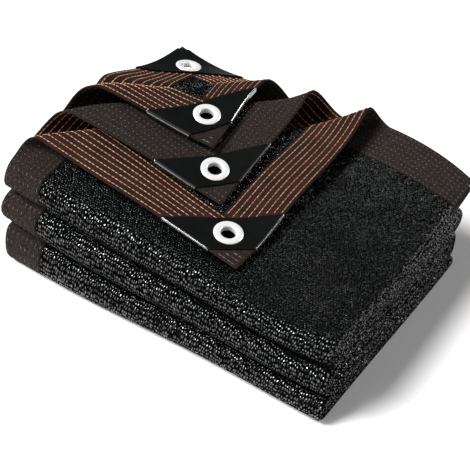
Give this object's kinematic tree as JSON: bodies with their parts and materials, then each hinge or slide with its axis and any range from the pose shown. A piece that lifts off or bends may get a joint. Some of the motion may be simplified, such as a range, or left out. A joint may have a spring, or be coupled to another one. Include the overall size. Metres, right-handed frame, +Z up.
{
  "type": "folded shade cloth",
  "caption": "Knitted shade cloth folded into a bundle, its corners turned back in rolls to show taped edges, vinyl corner patches and metal eyelets.",
  "frame": {"origin": "on the surface the bundle lies on, under the centre of its bounding box", "axes": "+X along the rolls towards the side where the layers are joined by a fold, +Y from the front rolls to the back, +Z up"},
  "size_m": [0.3402, 0.2602, 0.1585],
  "materials": {
    "net_black": "knitted tape yarn with a wet-looking sparkle",
    "tape_brown": "matt woven tape with pale stitching",
    "vinyl_black": "satin",
    "eyelet_metal": "bright rolled"
  },
  "bodies": {
    "root": {"net_cloth": "net_black", "long_tape_a": "tape_brown", "long_tape_b": "tape_brown", "end_tape_a": "tape_brown", "end_tape_b": "tape_brown", "corner_patch_1": "vinyl_black", "corner_patch_2": "vinyl_black", "corner_patch_3": "vinyl_black", "corner_patch_4": "vinyl_black", "eyelet_1": "eyelet_metal", "eyelet_2": "eyelet_metal", "eyelet_3": "eyelet_metal", "eyelet_4": "eyelet_metal"}
  },
  "joints": []
}
